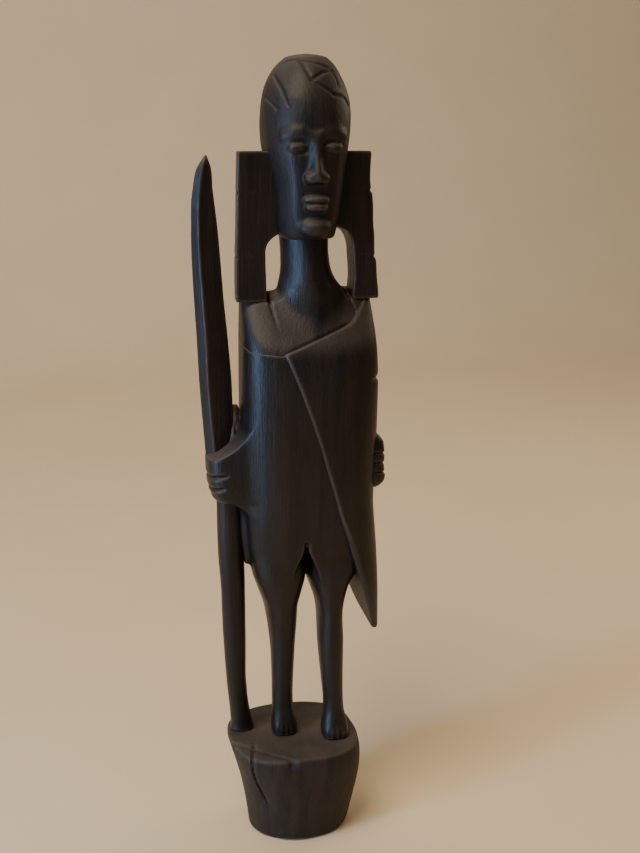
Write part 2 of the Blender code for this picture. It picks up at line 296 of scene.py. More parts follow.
def skin_of(grid, field):
    """Vertices and quads of the field's zero level: one vertex per crossed cell."""
    cells, spots, quads = [], [], []
    size = np.array(field.shape)
    stride = np.array([size[1] * size[2], size[2], 1])
    for axis in range(3):
        lower = [slice(None)] * 3
        upper = [slice(None)] * 3
        lower[axis], upper[axis] = slice(0, -1), slice(1, None)
        f0, f1 = field[tuple(lower)], field[tuple(upper)]
        where = np.argwhere((f0 < 0) != (f1 < 0))
        a = f0[where[:, 0], where[:, 1], where[:, 2]].astype(float)
        b = f1[where[:, 0], where[:, 1], where[:, 2]].astype(float)
        crossing = where.astype(float)
        crossing[:, axis] += a / (a - b)
        u, v = (axis + 1) % 3, (axis + 2) % 3
        ring = []
        for du, dv in ((0, 0), (-1, 0), (-1, -1), (0, -1)):
            cell = where.copy()
            cell[:, u] += du
            cell[:, v] += dv
            flat = cell @ stride
            ring.append(flat)
            cells.append(flat)
            spots.append(crossing)
        ring = np.stack(ring, axis=1)
        outward = a < 0
        ring[~outward] = ring[~outward][:, ::-1]
        quads.append(ring)
    cells, spots = np.concatenate(cells), np.concatenate(spots)
    names, index = np.unique(cells, return_inverse=True)
    count = np.bincount(index)
    verts = np.stack([np.bincount(index, spots[:, c]) / count for c in range(3)], axis=1)
    quads = np.searchsorted(names, np.concatenate(quads))
    return grid.low + verts * grid.step, quads


def convexity(grid, field, verts, reach=1.1):
    """Bend of the surface, positive on arrises and negative in creases."""
    total = -6 * sample(grid, field, verts)
    for axis in range(3):
        for sign in (-reach, reach):
            offset = np.zeros(3)
            offset[axis] = sign
            total += sample(grid, field, verts + offset)
    return total / reach**2


def settle(grid, field, verts):
    """Pull the vertices onto the zero level."""
    half = grid.step * 0.5
    for _ in range(2):
        value = sample(grid, field, verts)
        rises = [sample(grid, field, verts + half * way) - sample(grid, field, verts - half * way)
                 for way in np.eye(3)]
        slope = np.stack(rises, axis=1) / (2 * half)
        steepness = np.maximum((slope**2).sum(axis=1), 0.05)
        move = np.clip(value / steepness, -half, half)
        verts = verts - slope * move[:, None]
    return verts


OPEN_EDGE = 0.3           # least value on a grid's faces, so every skin closes inside its grid


def skinned(name, grid, field, keep=1.0):
    """Mesh of a field's zero level, thinned to a share of its faces, with its bend stored per point."""
    field = np.ascontiguousarray(field, dtype=REAL)
    for axis in range(3):
        for end in (0, -1):
            face = [slice(None)] * 3
            face[axis] = end
            field[tuple(face)] = np.maximum(field[tuple(face)], OPEN_EDGE)
    verts, quads = skin_of(grid, field)
    verts = settle(grid, field, verts)
    mesh = bpy.data.meshes.new(name)
    mesh.from_pydata(verts * MM, [], quads)
    bend = mesh.attributes.new("bend", "FLOAT", "POINT")
    bend.data.foreach_set("value", convexity(grid, field, verts).astype(REAL))
    if keep < 1.0:
        full = bpy.data.objects.new(name + "_full", mesh)
        bpy.context.scene.collection.objects.link(full)
        full.modifiers.new("lighter", "DECIMATE").ratio = keep
        graph = bpy.context.evaluated_depsgraph_get()
        mesh = bpy.data.meshes.new_from_object(full.evaluated_get(graph))
        bpy.data.objects.remove(full)
        mesh.name = name
    for face in mesh.polygons:
        face.use_smooth = True
    return mesh


def part_of(mesh, node, finish, planes):
    """Copy of a skin kept behind each plane, closed there with a flat face and a sharp rim."""
    shape = bmesh.new()
    shape.from_mesh(mesh)
    for point, normal in planes:
        found = bmesh.ops.bisect_plane(
            shape, geom=shape.verts[:] + shape.edges[:] + shape.faces[:], dist=1e-7,
            plane_co=Vector(point) * MM, plane_no=normal, clear_outer=True)
        rim = [e for e in found["geom_cut"] if isinstance(e, bmesh.types.BMEdge)]
        capped = bmesh.ops.triangle_fill(shape, edges=rim, use_beauty=True, normal=normal)
        for face in capped["geom"]:
            if isinstance(face, bmesh.types.BMFace):
                face.smooth = False
        for edge in rim:
            if edge.is_valid:
                edge.smooth = False
    bmesh.ops.recalc_face_normals(shape, faces=shape.faces)
    trimmed = bpy.data.meshes.new("carved_" + node)
    shape.to_mesh(trimmed)
    shape.free()
    return member_of(trimmed, node, finish)


def carve(node, grid, field, finish, keep=1.0):
    """Skin a field as the member of the figure that stands for a CAD node."""
    return member_of(skinned("carved_" + node, grid, field, keep), node, finish)


def member_of(mesh, node, finish):
    """Put a finished mesh on the figure in place of a CAD node."""
    member = bpy.data.objects.new("carved_" + node, mesh)
    bpy.context.scene.collection.objects.link(member)
    mesh.materials.append(finish)
    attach(member, "root")
    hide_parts(node)
    return member



# ---------------------------------------------------------------- wood finishes

BARE_BROWN_AND_EDGE_LIGHT = (0.105, 0.066, 0.042, 1.0)    # bare wood where the stain is rubbed off an arris, and a painted highlight along arrises
PAINTED_CREASE_SHADE = (0.006, 0.005, 0.005, 1.0)   # painted shade in creases
DUST_AND_TOP_LIGHT = (0.14, 0.11, 0.085, 1.0)            # dust on what faces up, with a painted top light
# A Mix node's sockets when it mixes colours: factor, first and second colour, and the result
COLOUR_MIX_INPUTS, COLOUR_MIX_RESULT = (0, 6, 7), 2


def wood(name, deep, warm, polish, relief):
    """Stained hardwood: grain along the block, stain rubbed thin on arrises with a painted edge highlight,
    painted shade in creases, dust and a painted top light on what faces up.

    The colour runs from deep to warm, polish is the range of roughness, relief the strength of the bump.
    """
    material = bpy.data.materials.new(name)
    material.use_nodes = True
    tree = material.node_tree
    shader = tree.nodes["Principled BSDF"]

    def add(kind, **settings):
        made = tree.nodes.new(kind)
        for key, value in settings.items():
            if key.startswith("in_"):
                made.inputs[key[3:].replace("_", " ")].default_value = value
            else:
                setattr(made, key, value)
        return made

    def link(output, target, socket):
        """Join an output, given as a node and a socket name or number, to a target's socket."""
        tree.links.new(output[0].outputs[output[1]], target.inputs[socket])

    def feed(target, socket, value):
        """Give a socket a constant, or link an output to it."""
        if isinstance(value, tuple) and isinstance(value[0], bpy.types.Node):
            link(value, target, socket)
        else:
            target.inputs[socket].default_value = value

    where = add("ShaderNodeTexCoord")

    def noise(scale, detail, roughness, distortion=0.0):
        """Noise fixed in the wood; scale is repeats per metre along each axis."""
        stretch = add("ShaderNodeMapping", in_Scale=scale)
        link((where, "Object"), stretch, "Vector")
        made = add("ShaderNodeTexNoise", in_Scale=1.0, in_Detail=detail, in_Roughness=roughness,
                   in_Distortion=distortion)
        link((stretch, "Vector"), made, "Vector")
        return made, "Fac"

    def ramp(output, stops):
        made = add("ShaderNodeValToRGB")
        band = made.color_ramp
        while len(band.elements) < len(stops):
            band.elements.new(0.5)
        for element, (position, value) in zip(band.elements, stops):
            element.position = position
            element.color = (*value, 1.0) if isinstance(value, tuple) else (value, value, value, 1.0)
        link(output, made, "Fac")
        return made, "Color"

    def blend(mode, factor, first, second):
        made = add("ShaderNodeMix", data_type="RGBA", blend_type=mode)
        for socket, value in zip(COLOUR_MIX_INPUTS, (factor, first, second)):
            feed(made, socket, value)
        return made, COLOUR_MIX_RESULT

    def maths(operation, first, second):
        made = add("ShaderNodeMath", operation=operation)
        feed(made, 0, first)
        feed(made, 1, second)
        return made, "Value"

    def spread(output, low, high, to_low=0.0, to_high=1.0):
        """Map an output's range onto another, held at its ends."""
        made = add("ShaderNodeMapRange", in_From_Min=low, in_From_Max=high,
                   in_To_Min=to_low, in_To_Max=to_high)
        link(output, made, "Value")
        return made, "Result"

    def weighed(*terms):
        """Sum of outputs, each times its weight."""
        total = None
        for output, weight in terms:
            term = maths("MULTIPLY", output, weight)
            total = term if total is None else maths("ADD", total, term)
        return total

    figure = noise((170.0, 120.0, 9.0), 4.0, 0.55, 0.6)
    fibre = noise((1500.0, 1500.0, 70.0), 5.0, 0.6)
    pores = noise((2600.0, 2600.0, 260.0), 2.0, 0.5)
    patches = noise((38.0, 38.0, 26.0), 4.0, 0.6)
    scuffs = noise((900.0, 160.0, 420.0), 3.0, 0.55)

    streaks = ramp(figure, [(0.36, 0.0), (0.62, 1.0)])
    base = blend("MIX", streaks, (*deep, 1.0), (*warm, 1.0))
    thin = ramp(fibre, [(0.30, 0.62), (0.72, 1.25)])
    grained = blend("MULTIPLY", 0.75, base, thin)
    stain = ramp(patches, [(0.30, 0.72), (0.70, 1.22)])
    stained = blend("MULTIPLY", 0.8, grained, stain)

    bend = add("ShaderNodeAttribute", attribute_name="bend"), "Fac"
    # Arrises lighten towards bare brown: stain rubbed thin, and a painted edge highlight
    arris = spread(bend, 0.25, 1.5)
    # Creases darken towards painted shade
    crease = spread(bend, -0.3, -1.5)
    rubbed = maths("MULTIPLY", arris, stain)
    worn_and_lit = blend("MIX", maths("MULTIPLY", rubbed, 0.45), stained, BARE_BROWN_AND_EDGE_LIGHT)
    dark = blend("MIX", maths("MULTIPLY", crease, 0.55), worn_and_lit, PAINTED_CREASE_SHADE)

    # Faces turned up lighten with dust and a painted top light
    split = add("ShaderNodeSeparateXYZ")
    link((add("ShaderNodeNewGeometry"), "Normal"), split, "Vector")
    upward = spread((split, "Z"), 0.22, 0.9, 0.0, 0.55)
    dusted_and_lit = blend("MIX", maths("MULTIPLY", upward, patches), dark, DUST_AND_TOP_LIGHT)
    link(dusted_and_lit, shader, "Base Color")

    sheen = spread(weighed((patches, 0.55), (fibre, 0.45)), 0.3, 0.7, *polish)
    link(weighed((sheen, 1.0), (crease, 0.25), (upward, 0.45)), shader, "Roughness")

    bump = add("ShaderNodeBump", in_Strength=relief, in_Distance=0.00035)
    link(weighed((fibre, 0.6), (pores, 0.35), (scuffs, 0.3)), bump, "Height")
    link((bump, "Normal"), shader, "Normal")
    shader.inputs["IOR"].default_value = 1.46
    shader.inputs["Specular IOR Level"].default_value = 0.34
    shader.inputs["Coat Weight"].default_value = 0.05
    shader.inputs["Coat Roughness"].default_value = 0.32
    return material


DARK_WOOD = wood("rubbed_dark_wood", (0.0048, 0.0040, 0.0042), (0.0135, 0.0085, 0.0068), (0.31, 0.52), 0.6)
DRY_WOOD = wood("drier_dark_wood", (0.0052, 0.0043, 0.0044), (0.0145, 0.0092, 0.0073), (0.40, 0.60), 0.7)
BASE_WOOD = wood("dull_base_wood", (0.0095, 0.0072, 0.0064), (0.025, 0.017, 0.0128), (0.55, 0.78), 0.9)
ROUGH_WOOD = wood("uncut_wood", (0.020, 0.013, 0.010), (0.070, 0.042, 0.026), (0.62, 0.85), 1.0)


# ---------------------------------------------------------------- the robed body

# Height, x, y, half width, half depth, squareness
TORSO = rows("robe", [
    (106.0, 4.0, -0.2, 19.4, 11.2, 2.8), (112.0, 4.1, -0.1, 21.5, 12.5, 2.9),
    (118.0, 3.9, 0.0, 23.3, 13.6, 2.9), (128.0, 3.6, -0.2, 24.3, 15.0, 2.9),
    (140.0, 3.5, -0.3, 24.6, 16.2, 2.9), (155.0, 3.6, -0.4, 25.2, 16.7, 2.9),
    (170.0, 3.7, -0.5, 25.6, 16.8, 3.0), (185.0, 3.75, -0.5, 25.7, 16.6, 3.1),
    (196.0, 3.75, -0.3, 25.7, 16.0, 3.1), (208.0, 3.5, 0.0, 25.1, 15.6, 3.1),
    (217.0, 3.3, 0.0, 24.7, 15.0, 3.1),
])
WRAP_SKIN = rows("robe", [
    (83.0, 4.2, -0.4, 27.4, 9.8, 3.0), (92.0, 4.3, -0.4, 26.6, 12.2, 3.0),
    (105.0, 4.3, -0.2, 25.9, 14.0, 3.0), (118.0, 4.0, 0.0, 25.3, 14.9, 2.9),
    (128.0, 3.8, -0.2, 24.6, 15.6, 2.9), (140.0, 3.5, -0.3, 24.7, 16.4, 2.9),
    (155.0, 3.6, -0.4, 25.2, 16.7, 2.9), (170.0, 3.7, -0.5, 25.6, 16.8, 3.0),
    (185.0, 3.75, -0.5, 25.7, 16.6, 3.1), (196.0, 3.75, -0.3, 25.7, 16.0, 3.1),
    (208.0, 3.5, 0.0, 25.1, 15.6, 3.1), (217.0, 3.3, 0.0, 24.7, 15.0, 3.1),
])
RIGHT_LEG = rows("right_leg", [
    (39.0, -6.0, -0.4, 4.9, 5.0, 2.6), (42.5, -6.0, -0.3, 5.1, 5.2, 2.6), (46.0, -6.1, 0.0, 4.8, 4.8, 2.4),
    (50.0, -6.3, 0.6, 4.3, 4.7, 2.2), (55.0, -6.4, 0.8, 4.15, 4.8, 2.1), (64.0, -6.3, 0.8, 4.3, 5.3, 2.1),
    (77.0, -6.25, 0.6, 4.8, 6.4, 2.2), (89.0, -6.6, 0.4, 5.8, 8.2, 2.3), (95.0, -7.0, 0.3, 6.5, 9.4, 2.35),
    (101.0, -7.3, 0.2, 8.2, 10.8, 2.5), (108.0, -7.7, 0.0, 10.1, 11.7, 2.6),
    (114.0, -8.1, 0.0, 10.3, 11.4, 2.8), (126.0, -8.0, 0.0, 8.0, 8.0, 2.8),
])
LEFT_LEG = rows("left_leg", [
    (39.0, 12.9, -8.0, 5.1, 5.4, 2.6), (42.5, 12.9, -7.9, 5.3, 5.5, 2.6), (46.0, 12.9, -7.4, 4.9, 4.9, 2.4),
    (50.0, 12.8, -6.7, 4.2, 4.6, 2.2), (55.0, 12.7, -6.3, 4.0, 4.6, 2.1), (62.0, 12.4, -5.8, 4.2, 5.2, 2.1),
    (79.0, 12.0, -4.4, 4.95, 6.9, 2.2), (95.5, 11.9, -2.4, 5.4, 9.4, 2.4),
    (103.0, 11.9, -1.6, 7.7, 10.8, 2.5), (109.0, 12.6, -0.8, 10.2, 12.0, 2.6),
    (114.0, 13.4, -0.4, 10.6, 12.2, 2.8), (126.0, 14.0, 0.0, 8.0, 8.0, 2.8),
])
NECK = rows("neck_and_chest", [
    (194.0, 4.5, 2.0, 13.0, 12.0, 1.6), (204.0, 5.0, 1.6, 14.2, 11.6, 1.55),
    (211.0, 5.5, 1.0, 14.2, 11.0, 1.5), (217.0, 5.3, 0.4, 13.0, 10.8, 1.55),
    (220.5, 4.3, 0.3, 11.1, 10.9, 1.6), (224.0, 3.7, 0.2, 9.8, 10.6, 1.65),
    (230.0, 3.2, 0.2, 9.1, 10.2, 1.7), (239.0, 2.8, 0.2, 9.2, 9.8, 1.9),
])
YOKE = rows("neck_and_chest", [
    (206.0, 3.9, 1.4, 18.2, 7.2, 2.4), (213.0, 3.9, 1.2, 17.4, 5.4, 2.4), (217.2, 3.9, 1.2, 15.6, 3.2, 2.2),
])
FOREARM = rows("right_fist", [
    (138.2, -25.6, -0.2, 4.8, 7.0, 2.6), (139.6, -26.2, -0.3, 6.2, 8.0, 2.6),
    (143.0, -27.0, -0.4, 7.1, 8.7, 2.7), (148.0, -27.4, -0.4, 7.6, 9.0, 2.7),
    (154.0, -27.5, -0.4, 7.8, 8.9, 2.7), (166.0, -27.5, -0.4, 7.8, 8.7, 2.7),
])
UNCUT_WEB = rows("robe", [
    (112.0, -20.3, 1.2, 0.5, 1.2, 2.0), (117.0, -20.6, 1.2, 1.2, 2.2, 2.0),
    (124.0, -21.0, 1.2, 2.0, 3.2, 2.2), (139.0, -21.3, 1.2, 2.4, 3.8, 2.2),
])
# Height and x of the wrap's slanted edge, wrap thickness, how far back its free tail reaches
WRAP_EDGE = levels("robe_wrap", [
    (82.6, 30.6, 8.0, -6.0), (86.0, 29.6, 12.0, -3.0), (91.0, 27.9, 16.0, 0.5), (97.0, 25.7, 18.0, 2.2),
    (103.0, 23.5, 18.0, 2.8), (110.0, 21.0, 14.0, 3.2), (119.2, 17.8, 7.0, 4.0), (126.0, 15.2, 3.0, 6.0),
    (131.0, 13.3, 3.0, 6.0), (140.2, 10.5, 3.0, 6.0), (152.0, 6.8, 3.0, 6.0), (162.0, 3.8, 3.0, 6.0),
    (181.0, -2.8, 3.0, 6.0), (191.2, -6.6, 3.0, 6.0), (200.0, -9.8, 3.0, 9.0), (214.0, -11.0, 3.0, 12.0),
])
ROBE_STEP = 0.1           # the robe stands this far off the bare chest
WRAP_EDGE_STEP = 0.25     # the wrap's edge starts this far off the chest
WRAP_STEP = 0.95          # and stands this far off it once its bevel is done
SHOULDER_ROUNDING = 2.6   # arris between the body and the slope cut across the shoulders
(crease_x, crease_y, crease_z), = points("neck_and_chest", [(-9.0, -16.3, 195.4)])
(PARTING_X, _, _), = points("robe", [(0.4, 0.0, 118.0)])
FRONT_SLIT = points("robe", [
    (0.1, -14.2, 122.6), (0.2, -13.2, 118.0), (0.5, -12.2, 112.5), (0.8, -11.0, 107.0)])
BACK_SLIT = points("robe", [(3.2, 13.6, 121.0), (2.4, 12.6, 113.0), (1.8, 11.0, 104.0)])
ARM_TOP, = points("right_fist", [(-33.5, 0.0, 157.0)])
SHOULDER_TOP = corners("right_ear_slab")[0][2]
HEM = corners("robe")[0][2]
ANKLE = corners("right_leg")[0][2]


def knife_marks(grid, amount, seed=3):
    """Low knife facets and soft rubbing over them."""
    flats = wobble(grid, (7.0, 7.0, 15.0), seed, faceted=True)
    ripples = wobble(grid, (3.1, 3.1, 6.0), seed + 1)
    return amount * (0.75 * flats + 0.25 * ripples)


def shoulder_slope(grid):
    """The plane-cut slope that runs from the crease round the shoulders up to the ear slabs."""
    start = crease_z + 0.16 * np.clip(crease_x - grid.x, 0, 14)
    t = np.clip((grid.z - start) / (SHOULDER_TOP - start), -0.6, 1.2)
    cx, cy = crease_x + 12.7 - 0.2 * t, -0.3 + 4.5 * t
    ratio, reach = section(grid, cx, cy, 26.1 - 0.9 * t, 16.3 - 7.4 * t, 3.2)
    return 0.82 * reach * (1 - 1 / np.maximum(ratio, 0.02))


# Rise of the robe's top edge per millimetre of x, on each side of the crease
RISE_LEFT, RISE_RIGHT = 0.36, -0.12


def neckline(grid, lift=0.0):
    """Negative above the robe's top edge: low at the front, climbing over the shoulders."""
    across = grid.x - crease_x
    behind = np.clip(grid.y - crease_y - 6.5, 0, 40)
    climb = np.where(across > 0, 0.8 * behind, 0.3 * behind + np.clip(behind - 12.0, 0, 40))
    edge = crease_z + np.where(across > 0, RISE_LEFT, RISE_RIGHT) * across + climb + lift
    return (edge - grid.z) * 0.9


def body_field(grid, outline):
    """Torso and shoulders."""
    body = meet(loft(grid, outline, 2.0), shoulder_slope(grid), SHOULDER_ROUNDING)
    return meet(body, grid.z - SHOULDER_TOP - 0.1, 0.8)


def torso_over_legs(grid):
    """Torso with its hem notched between the legs, run into both legs, with a slit front and back."""
    notch_z = HEM + 3.5 - np.clip(2.4 * np.abs(grid.x - PARTING_X), 0.0, 14.0)
    torso = meet(loft(grid, TORSO, 2.0) - ROBE_STEP, 0.45 * (notch_z - grid.z), 1.2)
    torso = meet(torso, shoulder_slope(grid) - ROBE_STEP, SHOULDER_ROUNDING)
    legs = join(loft(grid, RIGHT_LEG), loft(grid, LEFT_LEG), 1.2)
    body = join(torso, legs, 1.8)
    for slit in (FRONT_SLIT, BACK_SLIT):
        body = score(body, grid, slit, 0.75, 2.0)
    return body


def with_right_arm(body, grid):
    """Forearm and fist run out of the robe, cut off flat above, over the uncut web beside the shaft."""
    arm = loft(grid, FOREARM, 1.4)
    arm = meet(arm, plane(grid, ARM_TOP, (-0.42, -0.10, 0.90)), 0.9)
    body = join(body, arm, 8.5)
    return join(body, loft(grid, UNCUT_WEB, 0.5), 3.0)


def toe_lines(field, grid, table, count=4):
    """Score the toes down the instep to the tips."""
    z, cx, cy, half_width, half_length, _ = table[1]
    for toe in range(count):
        lean = (toe - (count - 1) / 2) / count
        top = (cx + lean * half_width * 1.2, cy - half_length * 0.80, z + 8.0)
        middle = (cx + lean * half_width * 1.5, cy - half_length * 0.93, z + 3.0)
        tip = (cx + lean * half_width * 1.7, cy - half_length * 1.0, z - 2.2)
        field = score(field, grid, [top, middle, tip], 0.5, 0.65)
    return field


# Feet, legs, robe and right forearm are one surface, so they are cut from one skin
body_grid = Grid((-37.5, -21, 38.5), (33, 19, 217), 0.46)
body = with_right_arm(torso_over_legs(body_grid), body_grid) + knife_marks(body_grid, 0.15)
body = np.maximum(body, corners("right_foot")[0][2] - GAP - body_grid.z)
body = np.maximum(body, -neckline(body_grid))
body = toe_lines(body, body_grid, RIGHT_LEG)
body = toe_lines(body, body_grid, LEFT_LEG)
# Between the fingers: x of the knuckles, y, height, how far the line reaches back from the knuckles
for knuckle_x, _, level, reach in points("right_fist", [
        (-35.2, 6.0, 149.2, 7.4), (-35.2, 6.0, 144.4, 6.0), (-35.2, 6.0, 141.4, 3.4)]):
    back = body_grid.x - knuckle_x
    share = np.clip((reach - back) / 1.5, 0, 1) * np.clip((back + 3.0) / 0.5, 0, 1)
    body = groove(body, body_grid.z - level - 0.14 * back, 0.65, 1.2, share)
skin = skinned("body", body_grid, body, keep=0.42)
BETWEEN_LEGS, BETWEEN_FEET, WRIST = points("robe", [(1.6, 0.0, 118.0), (3.6, 0.0, 50.0), (-23.3, 0.0, 150.0)])
LEFTWARD, RIGHTWARD, UPWARD, DOWNWARD = (-1, 0, 0), (1, 0, 0), (0, 0, 1), (0, 0, -1)
at_ankle, at_hem = (0, 0, ANKLE), (0, 0, HEM)
for side, outward in (("right", RIGHTWARD), ("left", LEFTWARD)):
    part_of(skin, side + "_foot", DARK_WOOD, [(BETWEEN_FEET, outward), (at_ankle, UPWARD)])
    leg_planes = [(BETWEEN_LEGS, outward), (at_ankle, DOWNWARD), (at_hem, UPWARD)]
    part_of(skin, side + "_leg", DARK_WOOD, leg_planes)
part_of(skin, "robe", DARK_WOOD, [(at_hem, DOWNWARD), (WRIST, LEFTWARD)])
part_of(skin, "right_fist", DARK_WOOD, [(WRIST, RIGHTWARD), (at_hem, DOWNWARD)])

# ---------------------------------------------------------------- the front wrap

wrap_grid = Grid((-14, -21, 81), (35, 13, 216), 0.55)
edge_x, thickness, tail_back = read_rows(WRAP_EDGE, wrap_grid.heights())
outer = body_field(wrap_grid, WRAP_SKIN)
inside_edge = wrap_grid.x - edge_x + 0.20 * (wrap_grid.y + 15.0)
# Towards its tail the wrap's edge gets a wider bevel and stands prouder; at the back it sinks into the robe
(_, _, tail_top), = points("robe_wrap", [(13.3, 0.0, 131.0)])
bevel = np.clip(inside_edge / (0.55 + 1.1 * np.clip((tail_top - wrap_grid.z) / 12.0, 0, 1)), 0, 1)
proud = 0.5 * np.clip((tail_top + 5.0 - wrap_grid.z) / 10.0, 0, 1)
sunk = np.clip((wrap_grid.y - 0.5) / 5.0, 0, 1) * np.clip((wrap_grid.z - tail_top + 9.0) / 10.0, 0, 1)
relief = WRAP_EDGE_STEP + (WRAP_STEP + proud - WRAP_EDGE_STEP) * bevel - 1.6 * sunk
wrap = np.maximum(outer - relief, -(outer + thickness))
wrap = meet(wrap, -inside_edge, 0.3)
wrap = meet(wrap, wrap_grid.y - tail_back + 0 * wrap, 0.7)
wrap = np.maximum(wrap, -neckline(wrap_grid, 0.15))
(elbow_x, _, elbow_z), = points("robe_wrap", [(22.4, -13.4, 183.3)])
away = wrap_grid.z - elbow_z - 0.22 * (wrap_grid.x - elbow_x)
wrap = groove(wrap, away, 1.2, 0.9, np.clip((wrap_grid.x - elbow_x - 2.0) / 4.0, 0, 1))
wrap = wrap + knife_marks(wrap_grid, 0.13)
carve("robe_wrap", wrap_grid, wrap, DARK_WOOD, keep=0.4)

# ---------------------------------------------------------------- bare chest and neck

chest_grid = Grid((-24, -18, 188), (31, 18, 241), 0.5)
chest = join(body_field(chest_grid, TORSO), loft(chest_grid, NECK), 5.0)
chest = join(chest, loft(chest_grid, YOKE, 1.2), 1.6)
chest = meet(chest, chest_grid.z - corners("head")[0][2] - 2.0, 0.5)
chest = meet(chest, neckline(chest_grid, -3.0), 0.5)
crest = points("neck_and_chest", [
    (-9.0, -16.4, 195.6), (0.5, -14.3, 199.0), (11.4, -11.8, 202.9), (17.3, -9.4, 205.0)])
chest = score(chest, chest_grid, crest, 0.7, 0.6)
# Top and bottom of the cut at each side of the neck
NECK_CUTS = [
    points("neck_and_chest", [(-11.6, 0.0, 216.0), (-9.6, 0.0, 205.0)]),
    points("neck_and_chest", [(18.8, 0.0, 216.0), (22.2, 0.0, 206.0)]),
]
for (top_x, _, top_z), (low_x, _, low_z) in NECK_CUTS:
    down = (top_z - chest_grid.z) / (top_z - low_z)
    away = chest_grid.x - top_x - (low_x - top_x) * down
    in_front = (chest_grid.y < 0) * (down > -0.2)
    chest = groove(chest, away, 0.55, 1.5 * np.clip(1.1 - down, 0, 1), in_front)
chest = chest + knife_marks(chest_grid, 0.15)
carve("neck_and_chest", chest_grid, chest, DARK_WOOD, keep=0.5)

# ---------------------------------------------------------------- head

HEAD = rows("head", [
    (236.6, 3.2, -1.8, 9.6, 11.6, 2.7), (241.0, 3.2, -1.8, 10.7, 13.8, 2.6),
    (248.0, 3.5, -1.2, 11.6, 15.8, 2.5), (257.0, 3.8, -0.2, 12.7, 17.0, 2.4),
    (262.0, 3.6, 0.1, 13.7, 17.4, 2.35), (267.0, 3.4, 0.4, 14.9, 17.8, 2.3),
    (273.0, 3.5, 0.8, 15.9, 18.2, 2.2), (282.0, 3.9, 1.2, 16.1, 17.6, 2.1),
    (286.0, 3.9, 1.4, 15.6, 16.8, 2.1), (290.4, 3.8, 1.5, 14.4, 15.2, 2.0),
    (293.6, 3.8, 1.6, 12.9, 13.6, 2.0), (296.8, 4.0, 1.7, 10.8, 11.4, 2.0),
    (298.9, 4.2, 1.8, 8.7, 9.0, 2.0), (300.5, 4.3, 1.8, 5.9, 6.2, 2.0), (301.2, 4.3, 1.8, 2.2, 2.4, 2.0),
])
head_grid = Grid((-15, -23, 234), (23, 22, 303), 0.42)
(face_x, face_y, chin_z), = points("head", [(3.6, -16.9, 236.5)])
head_high = corners("head")[1][2] - chin_z


def up(part):
    """Height on the face: 0 at the chin, 1 at the crown."""
    return chin_z + head_high * part


def on_face(across, forward, height):
    """Point on the face plane's own axes: across from its middle, forward of it, up the head."""
    return face_x + across, face_y - forward, height


head = loft(head_grid, HEAD, 1.5)
for sign in (-1, 1):
    cheek = plane(head_grid, on_face(sign * 11.4, -5.2, up(0.3)), (sign * 0.80, -0.58, -0.16))
    head = meet(head, cheek, 2.0)
head = meet(head, plane(head_grid, on_face(0, -0.6, up(0.42)), (0, -1.0, -0.07)), 2.0)
eye_line, brow_line, nose_base, mouth_line = up(0.50), up(0.565), up(0.315), up(0.20)
for sign in (-1, 1):
    head = cut(head, ellipsoid(head_grid, on_face(sign * 6.2, 1.4, eye_line), (5.4, 3.8, 3.2)), 1.2)
    head = join(head, ellipsoid(head_grid, on_face(sign * 6.1, -2.3, eye_line - 0.3), (3.7, 2.1, 1.9)), 0.8)
    brow = [on_face(sign * 2.6, -2.1, brow_line), on_face(sign * 5.2, -2.0, brow_line + 0.7),
            on_face(sign * 7.8, -2.7, brow_line + 0.6), on_face(sign * 10.2, -4.1, brow_line - 0.5)]
    head = join(head, finger(head_grid, brow, (1.3, 1.0)), 2.8)
nose = loft(head_grid, [
    (nose_base, face_x, face_y + 0.2, 2.9, 3.4, 2.0), (nose_base + 2.0, face_x, face_y + 0.3, 2.7, 3.5, 1.9),
    (nose_base + 7.0, face_x, face_y + 0.8, 1.9, 2.8, 1.8), (brow_line, face_x, face_y + 1.8, 2.0, 2.2, 2.0),
], 1.2)
head = join(head, nose, 2.4)
for sign in (-1, 1):
    nostril = ellipsoid(head_grid, on_face(sign * 2.5, 0.2, nose_base + 1.3), (1.9, 2.0, 1.7))
    head = join(head, nostril, 1.6)
for rise, half_width, half_depth in ((1.2, 4.6, 2.4), (-1.3, 4.1, 2.5)):
    lip = ellipsoid(head_grid, on_face(0, -0.9, mouth_line + rise), (half_width, half_depth, 1.6))
    head = join(head, lip, 1.3)
chin = ellipsoid(head_grid, on_face(0, -2.4, up(0.065)), (5.2, 3.2, 3.2))
head = join(head, chin, 2.5)
for sign in (-1, 1):
    lid_line = [on_face(sign * 3.0, 0.0, eye_line - 0.5), on_face(sign * 6.1, 0.2, eye_line - 0.9),
                on_face(sign * 9.2, -1.8, eye_line - 0.4)]
    head = score(head, head_grid, lid_line, 0.45, 0.5)
mouth = [on_face(-4.5, -0.2, mouth_line - 0.1), on_face(0, 1.5, mouth_line),
         on_face(4.5, -0.2, mouth_line - 0.1)]
head = score(head, head_grid, mouth, 0.55, 0.8)


def on_head(x, z, front=True):
    """Point of the head's skin in front of or behind x, z."""
    cx, cy, hx, hy, power = [float(v.ravel()[0]) for v in read_rows(HEAD, np.array([z]))]
    across = min(abs(x - cx) / hx, 0.98)
    reach = hy * (1 - across**power) ** (1 / power)
    return x, cy - reach if front else cy + reach, z


